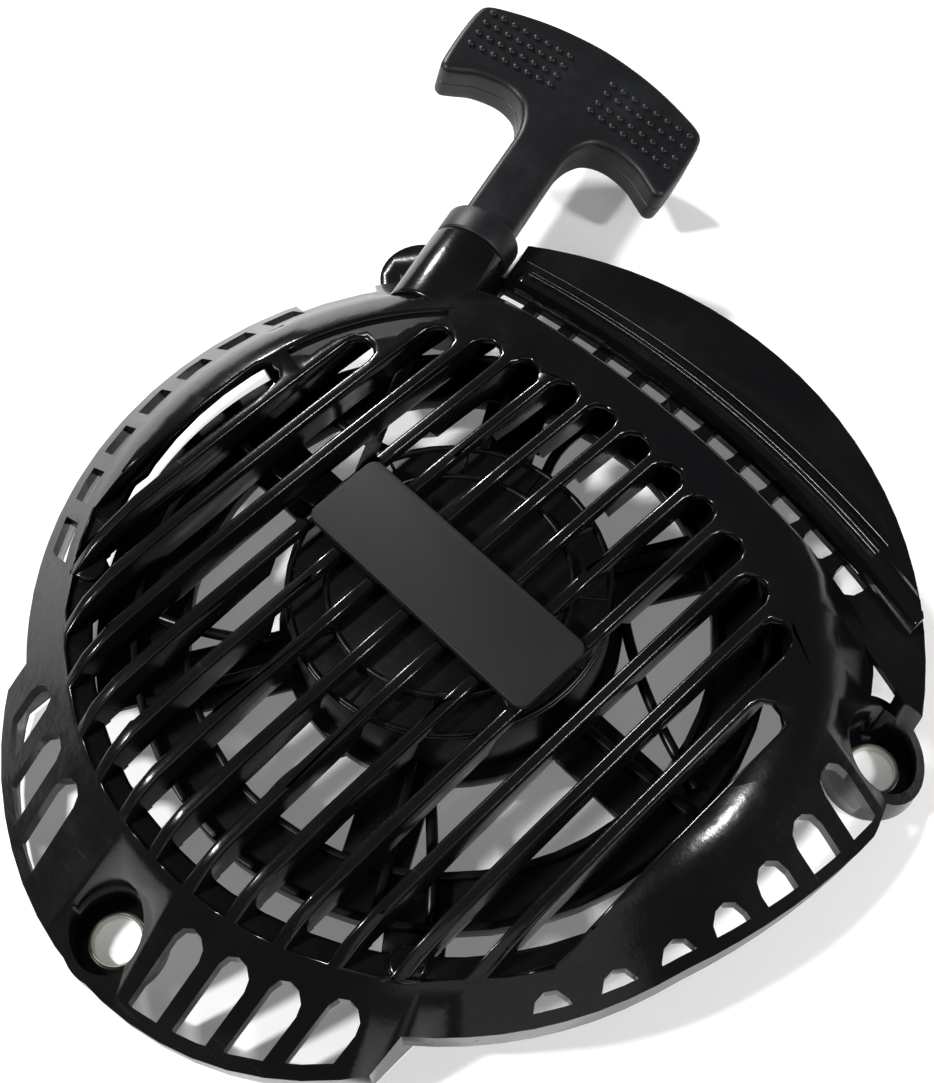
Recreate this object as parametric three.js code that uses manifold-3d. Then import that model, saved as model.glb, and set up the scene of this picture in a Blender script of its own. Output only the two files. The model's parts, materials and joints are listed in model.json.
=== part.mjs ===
// Recoil starter for a small engine: slatted dome cover, inner starter housing, rope pulley with
// pawls, flat recoil spring and a T-shaped pull handle.
// Frame: millimetres, +Z out of the dome along the pulley axis, z = 0 in the mounting plane, origin on
// the pulley axis, +X along the grille slots towards the wing.
import * as THREE from "three";
import { mergeVertices } from "three/addons/utils/BufferGeometryUtils.js";
import Module from "manifold-3d";

const wasm = await Module();
wasm.setup();

// ---------------------------------------------------------------- driving dimensions
const WALL = 2.6; // moulded wall of the cover
const RING_R = 98, RING_Z = 31; // edge where the grille dome meets the sloped skirt
const SLOPE = 0.85; // fall of the skirt per millimetre of radius
const DOME_R = 85, DOME_Z = 40.8, CROWN_Z = 44; // shoulder and crown of the dome
const SLOT_PITCH = 12.2, SLOT_W = 8.8; // grille slots, parallel to X
const SLOT_TIPS = [32, 50, 55, 59.5, 62.5, 64, 65, 65, 63.5, 61.5, 59, 53, 35, 12]; // right ends, low y first
const GRILLE_R = 91; // outer edge of the grille opening
const RIB_DEEP = 34; // underside of the ribs outside the hub
const BASE = { y: 1.5, r: 108.5 }, LIP_Z = 13; // skirt outline and its lower edge
const LOBE = { x: -40.6, y: -0.8, r: 86, z: 3, y0: -69, y1: 66 }; // slotted flange lobe
const BULGE = { x: 33.9, y: 68, r: 182.1 }; // flatter stretch towards the second mount
const WING_R = 121, WING_Z = 24.6; // crescent wing
const BAND = { x: -220, y: 0, r0: 310, r1: 318.5, n: 200 }; // ridged band, a long shallow arc
const DOME_CUT = 301.5; // arc where the dome stops short of the band
const MOUNT_R = 114.3, MOUNTS = [180, -63, 50]; // three mounting bosses, degrees
const NOTCH = { from: 57.5, to: 70, r: 103 }; // gap in the skirt beside the third boss
const BOSS_R = 12.8, POCKET_R = 10.3, FLOOR = 3, SLEEVE_R = 7.2;
const ROPE = { deg: 17, across: 49.9, z: 27, coilZ: 24, r: 2, start: 76, boss: 101.3 }; // straight run of the rope
const GUIDE_R = 12;
const HUB = { r1: 41.5, z1: 37.5, r2: 31.7, z2: 39, wall: 2.2, foot: 13 };
const POST_R = 7, POST_Z = 4.6;
const ARM = { z0: 15, z1: 17.5, w: 17, n: 6, turn: 30 };
const RING = { r0: 68, r1: 83 };
const TAB = { r: 93.2, at: [-50, 75, 130, 220], w: 15 }; // screw tabs, degrees
const PULLEY = { r: 38.2, floor: 21.1, z0: 19, z1: 21.4, z2: 26.6, z3: 28.4, bore: 7.4 };
const COIL_R = 35.6; // radius of the outer rope turn
const PAWL = { r: 16, z0: 11.5, z1: 17.4 };
const ROLL = 14; // turn of the handle about the rope, degrees
const KNOT_S = 68; // knot seat inside the handle
const GRIP = { half: 39.8, top: 88, deep: 7, stem: 8, tip: 49.4, under: 55.8, collar: 11.8, collarLong: 9.6 };

// ---------------------------------------------------------------- helpers
const rad = (d) => (d * Math.PI) / 180;
const V = (x, y) => new THREE.Vector2(x, y);

function solid(g) {
  const q = g.index ? g.toNonIndexed() : g.clone();
  q.deleteAttribute("normal");
  q.deleteAttribute("uv");
  const m = mergeVertices(q, 1e-4);
  const tri = new Uint32Array(m.index.array);
  const make = () =>
    new wasm.Manifold(
      new wasm.Mesh({ numProp: 3, vertProperties: m.attributes.position.array, triVerts: tri }),
    );
  let s = make();
  if (s.volume() < 0) {
    for (let i = 0; i < tri.length; i += 3) [tri[i + 1], tri[i + 2]] = [tri[i + 2], tri[i + 1]];
    s = make();
  }
  return s;
}
// Solid of revolution about a vertical axis at (x, y) from a list of [radius, z].
function lathe(profile, seg = 60, x = 0, y = 0) {
  const g = new THREE.LatheGeometry(profile.map(([r, z]) => V(r, z)), seg);
  return solid(g.rotateX(Math.PI / 2).translate(x, y, 0));
}
const cyl = (r, z0, z1, x = 0, y = 0, seg = 32) =>
  lathe([[0, z0], [r, z0], [r, z1], [0, z1]], seg, x, y);
const tube = (r0, r1, z0, z1, x = 0, y = 0, seg = 32) =>
  lathe([[r0, z0], [r1, z0], [r1, z1], [r0, z1], [r0, z0]], seg, x, y);
function box(x0, x1, y0, y1, z0, z1, turn = 0, ox = 0, oy = 0) {
  const g = new THREE.BoxGeometry(x1 - x0, y1 - y0, z1 - z0);
  g.translate((x0 + x1) / 2, (y0 + y1) / 2, (z0 + z1) / 2);
  return solid(g.rotateZ(rad(turn)).translate(ox, oy, 0));
}
function prism(points, z0, z1) {
  const g = new THREE.ExtrudeGeometry(new THREE.Shape(points), {
    depth: z1 - z0, bevelEnabled: false, curveSegments: 8,
  });
  return solid(g.translate(0, 0, z0));
}
// Straight slot with one or two round ends, drawn along X and then turned.
function capsule(x0, x1, w, z0, z1, roundLeft, roundRight, steps = 5) {
  const r = w / 2, p = [];
  const cap = (cx, a0) => {
    for (let i = 0; i <= steps; i++) {
      const a = a0 + (Math.PI * i) / steps;
      p.push(V(cx + r * Math.cos(a), r * Math.sin(a)));
    }
  };
  if (roundRight) cap(x1 - r, -Math.PI / 2);
  else p.push(V(x1, -r), V(x1, r));
  if (roundLeft) cap(x0 + r, Math.PI / 2);
  else p.push(V(x0, r), V(x0, -r));
  return prism(p, z0, z1);
}
const union = (list) => list.reduce((a, b) => a.add(b));
const cut = (a, list) => list.reduce((s, b) => s.subtract(b), a);
const move = (s, x, y, z = 0) => s.translate([x, y, z]);
const turn = (s, d) => s.rotate([0, 0, d]);

function geometry(s) {
  const m = s.getMesh(), n = m.numProp, v = new Float32Array(m.numVert * 3);
  for (let i = 0; i < m.numVert; i++) v.set(m.vertProperties.subarray(i * n, i * n + 3), i * 3);
  const g = new THREE.BufferGeometry();
  g.setAttribute("position", new THREE.BufferAttribute(v, 3));
  g.setIndex(new THREE.BufferAttribute(new Uint32Array(m.triVerts), 1));
  const out = g.toNonIndexed();
  out.computeVertexNormals();
  return out;
}

const root = new THREE.Group();
root.name = "recoil_starter";
const MAT = {
  cover: new THREE.MeshStandardMaterial({ color: 0x15161a, roughness: 0.3, metalness: 0 }),
  badge: new THREE.MeshStandardMaterial({ color: 0x2b2d2e, roughness: 0.6, metalness: 0 }),
  housing: new THREE.MeshStandardMaterial({ color: 0x1b1c20, roughness: 0.38, metalness: 0 }),
  nylon: new THREE.MeshStandardMaterial({ color: 0x202124, roughness: 0.5, metalness: 0 }),
  steel: new THREE.MeshStandardMaterial({ color: 0x9a9da1, roughness: 0.35, metalness: 1 }),
  zinc: new THREE.MeshStandardMaterial({ color: 0xb7b6a8, roughness: 0.4, metalness: 1 }),
  rope: new THREE.MeshStandardMaterial({ color: 0xd9d7cf, roughness: 0.85, metalness: 0 }),
  grip: new THREE.MeshStandardMaterial({ color: 0x2a2c30, roughness: 0.55, metalness: 0 }),
};
function put(name, s, material, parent = root) {
  const mesh = new THREE.Mesh(geometry(s), material);
  mesh.name = name;
  parent.add(mesh);
  return mesh;
}

// Distance from the axis to the far side of a circle, along direction a.
function reach(a, cx, cy, r) {
  const b = cx * Math.cos(a) + cy * Math.sin(a);
  const d = r * r - (cx * cx + cy * cy - b * b);
  return d > 0 ? b + Math.sqrt(d) : 0;
}
// Outline of the skirt and wing, drawn in by "inset".
function outline(inset, z0, z1) {
  const p = [];
  for (let i = 0; i < 90; i++) {
    const a = rad(i * 4 - 180), d = i * 4 - 180;
    const wing = d > -62 && d < 38 ? WING_R : 0;
    const bulge = d > -132 && d < -60 ? Math.min(WING_R, reach(a, BULGE.x, BULGE.y, BULGE.r)) : 0;
    const r = Math.max(reach(a, 0, BASE.y, BASE.r), wing, bulge) - inset;
    p.push(V(r * Math.cos(a), r * Math.sin(a)));
  }
  return prism(p, z0, z1);
}
const skirtZ = (r) => RING_Z - SLOPE * (r - RING_R);
const bandX = (r, y) => BAND.x + Math.sqrt(r * r - (y - BAND.y) ** 2);
const mountAt = (d) => [MOUNT_R * Math.cos(rad(d)), MOUNT_R * Math.sin(rad(d))];

// A point on the rope line, "along" it and "across" it.
const ropeAt = (s, t = ROPE.across) => [
  s * Math.cos(rad(ROPE.deg)) - t * Math.sin(rad(ROPE.deg)),
  s * Math.sin(rad(ROPE.deg)) + t * Math.cos(rad(ROPE.deg)),
];
// The inner end of the straight run, and the angle at which the lead leaves the coil towards it.
const [ex, ey] = ropeAt(ROPE.start);
const leave = Math.atan2(ey, ex) + Math.acos(COIL_R / Math.hypot(ex, ey));
// Cylinder lying along the rope line.
function ropeCyl(r, s0, s1, seg = 28) {
  const [x, y] = ropeAt(0);
  return cyl(r, s0, s1, 0, 0, seg).rotate([0, 90, 0]).rotate([0, 0, ROPE.deg]).translate([x, y, ROPE.z]);
}

// ---------------------------------------------------------------- cover
function cover() {
  const top = [[0, CROWN_Z], [34, 43.5], [66, 42.1], [DOME_R, DOME_Z - 0.6], [92, 36.9],
    [RING_R, RING_Z], [134, skirtZ(134)], [134, -1], [0, -1]];
  const under = [[0, 41.2], [34, 40.7], [66, 39.3], [83.5, 37.4], [89.6, 34.2],
    [95.4, 28.8], [131, 28.8 - SLOPE * 35.6], [131, -2], [0, -2]];
  // The dome stops at a sloped wall short of the ridged band.
  const taper = (d) => lathe([[0, -3], [0, 60], [290 - d, 60], [295 - d, 42], [297.5 - d, 38],
    [DOME_CUT - d, 27], [DOME_CUT - d, -3], [0, -3]], BAND.n, BAND.x, BAND.y);
  const plan = (inset, z) => outline(inset, z, 60).add(
    cyl(LOBE.r - inset, z + (inset ? 0 : LOBE.z - LIP_Z), 60, LOBE.x, LOBE.y, 60)
      .intersect(box(-140, 0, LOBE.y0 + inset, LOBE.y1 - inset, -5, 61)));
  const outside = lathe(top).intersect(plan(0, LIP_Z)).intersect(taper(0));
  const wing = outline(0, LIP_Z, WING_Z).intersect(box(0, 140, -140, 90, 0, 60)).subtract(
    cyl(DOME_CUT - 3, -1, 60, BAND.x, BAND.y, BAND.n));
  const band = lathe([[BAND.r0, 23], [BAND.r0, 27.8], [311, 29.4], [312.6, 29.8], [313.2, 29], [315, 29],
    [315.5, 28], [317, 28], [317.6, 26.8], [BAND.r1, 26.4], [BAND.r1, 23], [BAND.r0, 23]],
    BAND.n, BAND.x, BAND.y).intersect(box(0, 140, -88, 60, 0, 60)).intersect(outline(1, 0, 60));
  const inside = lathe(under).intersect(plan(WALL, -2)).intersect(taper(WALL));
  const wingInside = outline(WALL, -2, WING_Z - WALL).intersect(box(0, 140, -140, 90, -3, 60)).subtract(
    cyl(DOME_CUT - 12, -3, 60, BAND.x, BAND.y, BAND.n));
  // Keep the skin of the lower right skirt where the wing plateau runs into it.
  let s = outside.add(wing).subtract(inside).subtract(wingInside);

  // Deep ribs of the grille and the ledge its openings stop at.
  const ribZone = lathe([[0, 40.1], [44, 40.1], [46, RIB_DEEP], [96, RIB_DEEP - 6], [97, RING_Z],
    [92, 36.7], [DOME_R, DOME_Z - 0.6], [66, 42], [34, 43.4], [0, 43.9]], 60)
    .intersect(taper(1));
  const ribs = [];
  for (let k = -6; k <= 6; k++) {
    const w = SLOT_PITCH - SLOT_W;
    ribs.push(box(-98, 72, k * SLOT_PITCH - w / 2, k * SLOT_PITCH + w / 2, 20, 50).intersect(ribZone));
  }
  const ledge = tube(GRILLE_R - 1.5, RING_R - 1, 28, RING_Z - 0.4, 0, 0, 60).intersect(taper(1));
  const open = [], step = [];
  for (let k = 0; k < 14; k++) {
    const y = (k - 6.5) * SLOT_PITCH;
    open.push(move(capsule(-99, SLOT_TIPS[k], SLOT_W, 20, 50, false, true), 0, y));
    step.push(move(capsule(-99, -20, SLOT_W, RING_Z - 0.4, 50, false, false), 0, y));
  }
  const inRing = cyl(GRILLE_R, 10, 55, 0, 0, 60), inLedge = cyl(RING_R - 1.4, 10, 55, 0, 0, 60);
  s = s.add(union(ribs)).add(ledge);
  s = s.subtract(union(open).intersect(inRing)).subtract(union(step).intersect(inLedge));

  // Shallow arc groove in the smooth part of the dome.
  const groove = [];
  for (let i = 0; i <= 10; i++) groove.push(rad(46 + 3.2 * i));
  const arc = groove.map((a) => V(83.2 * Math.cos(a), 83.2 * Math.sin(a))).concat(
    groove.reverse().map((a) => V(81 * Math.cos(a), 81 * Math.sin(a))));
  s = s.subtract(prism(arc, 39.6, 50));

  // Skirt windows on the far side, arches on the near side, slots in the lobe, windows by the band.
  const holes = [];
  for (let i = 0; i < 7; i++) {
    const x = 29.7 - 14.7 * i;
    holes.push(box(x - 4.8, x + 4.8, 40, 130, 10, 40).intersect(tube(100.6, BASE.r - 2, 5, 45, 0, 0, 60)));
  }
  const rim = outline(WALL + 0.2, 0, 60);
  for (let i = 0; i < 7; i++) {
    const x = 33.2 - 14.7 * i, y = Math.sqrt(105.4 ** 2 - x * x);
    const arch = turn(capsule(y - 4.7, 140, 9.4, 5, 40, true, false), -90);
    holes.push(move(arch, x, 0).intersect(rim).intersect(box(-70, 60, -140, -60, 0, 50)));
  }
  const lobeRim = cyl(LOBE.r - 3.2, 0, 60, LOBE.x, LOBE.y, 60);
  for (const y of [29.5, 41.9, 54.3, -20, -32.4, -44.8, -57.2]) {
    const x = -Math.sqrt(106.4 ** 2 - y * y);
    holes.push(move(capsule(-140, x + 4.2, 8.4, -2, 40, false, true), 0, y).intersect(lobeRim));
  }
  for (let j = -6; j <= 4; j++) {
    const y = 8.3 + 12.6 * j;
    holes.push(move(capsule(bandX(302.2, y), bandX(316, y), 8.4, 18, 26, true, false), 0, y)
      .intersect(cyl(BAND.r0 - 0.8, 0, 60, BAND.x, BAND.y, BAND.n)));
  }
  s = s.add(band).subtract(union(holes));

  // Mounting bosses: pockets for the first two, an open notch over the third.
  MOUNTS.forEach((d, i) => {
    const [x, y] = mountAt(d);
    if (i < 2) {
      const skin = i ? lathe(top).add(wing) : lathe(top);
      s = s.add(cyl(BOSS_R, 0, 60, x, y, 40).intersect(skin));
      s = s.subtract(cyl(POCKET_R, FLOOR, 60, x, y, 40));
      s = s.subtract(cyl(SLEEVE_R, -1, FLOOR + 1, x, y, 32));
    } else {
      // The third boss is blind, because it stands under the rope guide.
      const web = turn(box(100, MOUNT_R, -8, 8, 6, 40), d).intersect(lathe(top));
      s = s.add(cyl(BOSS_R, 0, 16, x, y, 40)).add(web).subtract(cyl(SLEEVE_R, -1, 11, x, y, 32));
    }
  });
  const gap = [V(NOTCH.r - 14, 0)];
  for (let d = NOTCH.from; d <= NOTCH.to; d += 2.5) gap.push(V(140, d));
  const wedge = gap.map((q, i) => (i ? V(q.x * Math.cos(rad(q.y)), q.x * Math.sin(rad(q.y))) : V(0, 0)));
  s = s.subtract(prism(wedge, -1, RING_Z - 4).subtract(cyl(NOTCH.r, -2, 60, 0, 0, 60)));

  // Rope guide boss and its bore, seat for the badge, screw posts for the inner housing.
  s = s.subtract(ropeCyl(GRIP.collar + 1.2, ROPE.boss, 140)).add(ropeCyl(GUIDE_R, 75, ROPE.boss));
  s = s.subtract(ropeCyl(6.2, 60, 82)).subtract(ropeCyl(5.2, 60, ROPE.boss + 1));
  s = s.subtract(box(-14.6, 9.6, -39.1, 37.1, 43.2, 50));
  for (const d of TAB.at) {
    const x = TAB.r * Math.cos(rad(d)), y = TAB.r * Math.sin(rad(d));
    s = s.add(cyl(4.6, 18, 32, x, y, 20)).subtract(cyl(1.7, 10, 27.6, x, y, 12));
  }
  return s;
}
const coverSolid = cover();
put("cover", coverSolid, MAT.cover);

// Blank badge across the ribs.
{
  const g = [], c = [[9.3 - 3, 36.8 - 3, 0], [-14.3 + 3, 36.8 - 3, 90], [-14.3 + 3, -38.8 + 3, 180],
    [9.3 - 3, -38.8 + 3, 270]];
  for (const [x, y, a0] of c)
    for (let i = 0; i <= 4; i++) g.push(V(x + 3 * Math.cos(rad(a0 + 22.5 * i)), y + 3 * Math.sin(rad(a0 + 22.5 * i))));
  put("badge_plate", prism(g, 43.5, 45.4), MAT.badge);
}

// ---------------------------------------------------------------- inner starter housing
function housing() {
  const { r1, z1, r2, z2, wall, foot } = HUB;
  let s = lathe([[0, z2], [r2, z2], [r2, z1], [r1, z1], [r1, foot], [r1 - wall, foot], [r1 - wall, z1 - wall],
    [r2 - wall, z1 - wall], [r2 - wall, z2 - wall], [0, z2 - wall]], 48);
  s = s.add(cyl(POST_R, POST_Z, z2 - 1, 0, 0, 28));
  const parts = [tube(RING.r0, RING.r1, ARM.z0, ARM.z1, 0, 0, 48), tube(RING.r1 - 2, RING.r1, ARM.z0, 21, 0, 0, 48),
    tube(RING.r0, RING.r0 + 2, ARM.z0, 19.6, 0, 0, 48), tube(r1 - 0.5, r1 + 3.5, foot, ARM.z1, 0, 0, 48)];
  for (let i = 0; i < ARM.n; i++) {
    const d = ARM.turn + (360 / ARM.n) * i;
    parts.push(turn(box(r1 - 1, RING.r0 + 2, -ARM.w / 2, ARM.w / 2, ARM.z0, ARM.z1), d));
    parts.push(turn(box(r1 - 1, RING.r1, -1.2, 1.2, ARM.z0, 20.4), d + 3));
  }
  for (const d of TAB.at)
    parts.push(turn(box(RING.r1 - 2, TAB.r + 5, -TAB.w / 2, TAB.w / 2, ARM.z0, ARM.z1), d));
  s = s.add(union(parts));
  for (const d of TAB.at)
    s = s.subtract(cyl(2.2, 5, 30, TAB.r * Math.cos(rad(d)), TAB.r * Math.sin(rad(d)), 16));
  // Way out for the rope, and the bore for the centre screw.
  const [lx, ly] = [COIL_R * Math.cos(leave), COIL_R * Math.sin(leave)];
  s = s.subtract(box(-8, 30, -4.5, 4.5, 19.5, 28.2, (leave * 180) / Math.PI - 90, lx, ly));
  s = s.subtract(cyl(2.9, -1, 32, 0, 0, 20));
  return s;
}
put("starter_housing", housing(), MAT.housing);

TAB.at.forEach((d, i) => {
  const x = TAB.r * Math.cos(rad(d)), y = TAB.r * Math.sin(rad(d));
  put("housing_screw_" + (i + 1), cyl(3.8, 12.4, 14.7, x, y, 20).add(cyl(1.4, 14, 25, x, y, 12)), MAT.zinc);
});
MOUNTS.forEach((d, i) => {
  const [x, y] = mountAt(d);
  put("mount_sleeve_" + (i + 1), tube(6.1, 6.9, 0, 3.6, x, y, 32), MAT.zinc);
});
put("rope_bush", ropeCyl(5.9, 78.4, 81.6).add(ropeCyl(4.9, 80, 101)).subtract(ropeCyl(2.7, 70, 110)), MAT.nylon);

// ---------------------------------------------------------------- pulley and what turns with it
function pulley() {
  const p = PULLEY;
  let s = lathe([[p.bore, 8.6], [11, 8.6], [11, p.z0], [p.r, p.z0], [p.r, p.z1 - 0.6], [p.r - 1.2, p.z1],
    [p.floor, p.z1], [p.floor, p.z2], [p.r - 1.2, p.z2], [p.r, p.z2 + 0.6], [p.r, p.z3], [9.2, p.z3],
    [9.2, 34.2], [p.bore, 34.2], [p.bore, 8.6]], 40);
  // Pocket for the knot at the inner end of the rope, open to the groove and the top.
  s = s.subtract(turn(box(13.6, p.floor + 2, -3.9, 3.9, p.z1, 30), 90));
  for (const d of [0, 180]) {
    const x = PAWL.r * Math.cos(rad(d)), y = PAWL.r * Math.sin(rad(d));
    s = s.add(cyl(2.4, 10.6, p.z0 + 1, x, y, 18));
  }
  // Lightening holes through both flanges.
  for (let i = 0; i < 6; i++) s = s.subtract(turn(cyl(3.2, p.z0 - 1, p.z1 + 0.01, 29.5, 0, 14), 30 + 60 * i));
  return s;
}
put("pulley", pulley(), MAT.nylon);

// Rope: three flat turns in the groove, then the straight lead to the handle.
function sweep(points, r, sides) {
  const ring = [];
  for (let i = 0; i < sides; i++) ring.push(V(r * Math.cos((2 * Math.PI * i) / sides), r * Math.sin((2 * Math.PI * i) / sides)));
  const path = new THREE.CatmullRomCurve3(points);
  const g = new THREE.ExtrudeGeometry(new THREE.Shape(ring), {
    steps: points.length * 2, bevelEnabled: false, extrudePath: path,
  });
  return solid(g);
}
{
  const turns = 2.9, p = [], n = 34;
  for (let i = 0; i <= n; i++) {
    const u = i / n, a = leave + rad(3) + (1 - u) * turns * Math.PI * 2, r = COIL_R - (1 - u) * turns * 4.12;
    p.push(new THREE.Vector3(r * Math.cos(a), r * Math.sin(a), ROPE.coilZ));
  }
  put("rope_coil", sweep(p, ROPE.r, 8), MAT.rope);
  const [x, y] = [17.6 * Math.cos(rad(90)), 17.6 * Math.sin(rad(90))];
  const ball = solid(new THREE.SphereGeometry(3.1, 14, 8).scale(1, 1, 0.8).translate(x, y, 24.2));
  put("rope_knot_inner", ball, MAT.rope);
}
{
  const P = new THREE.Vector3(COIL_R * Math.cos(leave), COIL_R * Math.sin(leave), ROPE.coilZ);
  const E = new THREE.Vector3(ex, ey, ROPE.z), along = E.clone().sub(P).normalize();
  const [fx, fy] = ropeAt(ROPE.boss + KNOT_S - 4), F = new THREE.Vector3(fx, fy, ROPE.z), out = F.clone().sub(E).normalize();
  const pts = [P.clone().addScaledVector(along, 0.4)];
  for (let i = 1; i <= 5; i++) pts.push(P.clone().lerp(E.clone().addScaledVector(along, -5), i / 5));
  for (let i = 0; i <= 5; i++) pts.push(E.clone().addScaledVector(out, 5).lerp(F, i / 5));
  put("rope_lead", sweep(pts, ROPE.r, 8), MAT.rope);
}

// Two pawls on the pulley pins, moved by pegs in the drive plate.
function pawl() {
  const p = [V(-4.2, 1.5), V(-4.2, -1.5), V(-2, -5), V(3.4, -16.4), V(7.4, -16.6), V(8.4, -12), V(7, -3),
    V(10.2, -2), V(10.2, 2), V(4, 4.2), V(0, 4.4), V(-3, 3.4)];
  let s = prism(p, PAWL.z0, PAWL.z1);
  s = s.subtract(cyl(2.7, 0, 40, 0, 0, 18));
  return s.add(cyl(1.3, 5.2, PAWL.z0 + 0.5, 8, 0, 12));
}
for (const [i, d] of [0, 180].entries()) put("pawl_" + (i + 1), turn(move(pawl(), PAWL.r, 0), d), MAT.zinc);

let plate = tube(7.4, 28, 6, 7.8, 0, 0, 48).add(tube(12.2, 13.4, 7.6, 9.6, 0, 0, 32));
for (const d of [0, 180]) plate = plate.subtract(turn(capsule(21.2, 26.4, 3.2, 4, 9, true, true, 5), d));
put("drive_plate", plate, MAT.zinc);
put("brake_spring", solid(new THREE.TorusGeometry(9.4, 0.42, 6, 20).translate(0, 0, 5.15)), MAT.steel);
put("retainer_washer", tube(2.9, 11.6, 3.3, 4.3, 0, 0, 36), MAT.zinc);
put("centre_screw", lathe([[0, 0.4], [5.6, 0.4], [5.6, 3], [2.5, 3], [2.5, 30], [0, 30]], 6).intersect(
  cyl(5.5, 0, 3.05, 0, 0, 24).add(cyl(2.3, 0, 31, 0, 0, 16))), MAT.steel);

// Flat recoil spring between the shield and the roof of the hub.
function spiral() {
  const turns = 8, n = 20 * turns, r0 = 10.4, r1 = 37.6, t = 0.9, z0 = 29.8, z1 = 34.8;
  const a = [], b = [];
  for (let i = 0; i <= n; i++) {
    const u = i / n, ang = u * turns * Math.PI * 2, r = r0 + (r1 - r0) * u;
    a.push(V((r + t / 2) * Math.cos(ang), (r + t / 2) * Math.sin(ang)));
    b.push(V((r - t / 2) * Math.cos(ang), (r - t / 2) * Math.sin(ang)));
  }
  return prism(a.concat(b.reverse()), z0, z1);
}
put("recoil_spring", spiral(), MAT.steel);
put("spring_shield", tube(10.4, 38.8, 28.8, 29.4, 0, 0, 48), MAT.zinc);

// ---------------------------------------------------------------- T handle, drawn along the rope line
function tee(z0, z1) {
  const { half: W, top, stem: h, tip, under: u } = GRIP;
  const half = [V(GRIP.collarLong - 2, h), V(u - 13, h), V(u - 6.5, h + 1.6), V(u - 2, h + 5), V(u, 19), V(u - 1.6, 28),
    V(tip + 2, W - 7), V(tip, W - 3), V(tip + 1, W - 0.8), V(tip + 4, W), V(top - 11.5, W), V(top - 9, W - 1.6),
    V(top - 5.4, 30), V(top - 2.2, 19), V(top - 0.6, 9)];
  const lower = half.map((v) => V(v.x, -v.y)).reverse();
  const round = cyl(GRIP.collar, 0.4, GRIP.collarLong, 0, 0, 28).rotate([0, 90, 0]);
  return prism(half.concat([V(top, 0)], lower), z0, z1).add(round.intersect(box(0, 20, -20, 20, z0 < 0 ? -20 : z0, z0 < 0 ? z1 : 20)));
}
const lay = (s) => {
  const [x, y] = ropeAt(ROPE.boss);
  return s.rotate([ROLL, 0, 0]).rotate([0, 0, ROPE.deg]).translate([x, y, ROPE.z]);
};
const bore = cyl(2.7, -1, KNOT_S, 0, 0, 16).rotate([0, 90, 0]).add(
  solid(new THREE.SphereGeometry(6, 16, 10).translate(KNOT_S, 0, 0)));
put("handle_lower", lay(tee(-GRIP.deep, -0.15).subtract(bore)), MAT.grip);
put("handle_upper", lay(tee(0.15, GRIP.deep).subtract(bore)), MAT.grip);
put("rope_knot", lay(solid(new THREE.SphereGeometry(4.4, 14, 10).translate(KNOT_S + 0.6, 0, 0))), MAT.rope);

export default root;
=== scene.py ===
"""Recoil starter of a small engine: finishes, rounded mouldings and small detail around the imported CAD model.

Sizes are in millimetres in the classes and are turned into metres where a mesh is made.
"""

from __future__ import annotations

import json
import logging
import math
from dataclasses import dataclass, field
from enum import Enum
from typing import Callable, Sequence

import bmesh
import bpy
from mathutils import Matrix, Vector
from mathutils.bvhtree import BVHTree

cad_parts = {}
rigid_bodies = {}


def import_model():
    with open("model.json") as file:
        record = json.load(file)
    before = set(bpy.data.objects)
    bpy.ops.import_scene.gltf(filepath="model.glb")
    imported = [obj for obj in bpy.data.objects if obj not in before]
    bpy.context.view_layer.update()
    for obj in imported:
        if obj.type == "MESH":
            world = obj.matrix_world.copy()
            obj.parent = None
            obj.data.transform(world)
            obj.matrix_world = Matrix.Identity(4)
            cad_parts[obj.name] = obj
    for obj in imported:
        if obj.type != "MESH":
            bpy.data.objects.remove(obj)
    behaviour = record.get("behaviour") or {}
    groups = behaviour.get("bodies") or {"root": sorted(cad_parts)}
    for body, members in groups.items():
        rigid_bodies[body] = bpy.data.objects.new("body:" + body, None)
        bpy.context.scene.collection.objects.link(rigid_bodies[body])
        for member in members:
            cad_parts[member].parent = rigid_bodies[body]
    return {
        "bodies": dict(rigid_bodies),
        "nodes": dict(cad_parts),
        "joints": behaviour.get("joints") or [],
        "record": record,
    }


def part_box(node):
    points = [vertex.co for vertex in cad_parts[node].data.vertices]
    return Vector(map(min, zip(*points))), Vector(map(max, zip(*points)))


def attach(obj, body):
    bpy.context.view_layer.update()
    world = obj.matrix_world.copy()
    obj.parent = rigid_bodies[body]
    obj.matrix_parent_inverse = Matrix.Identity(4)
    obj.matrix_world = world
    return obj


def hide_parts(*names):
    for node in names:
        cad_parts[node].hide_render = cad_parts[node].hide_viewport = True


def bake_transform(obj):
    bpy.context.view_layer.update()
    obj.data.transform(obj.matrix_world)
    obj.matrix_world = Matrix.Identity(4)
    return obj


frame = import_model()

LOG = logging.getLogger("recoil_starter")
MM = 0.001


class Body(Enum):
    """Moving bodies of the starter."""

    COVER = "cover"
    PULLEY = "pulley"
    PAWL_1 = "pawl_1"
    PAWL_2 = "pawl_2"
    DRIVE_PLATE = "drive_plate"
    HANDLE = "handle"


class Slot(Enum):
    """Material slots of the record."""

    COVER = "cover"
    BADGE = "badge"
    HOUSING = "housing"
    NYLON = "nylon"
    STEEL = "steel"
    ZINC = "zinc"
    ROPE = "rope"
    GRIP = "grip"


# ---------------------------------------------------------------- shader maths


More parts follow.
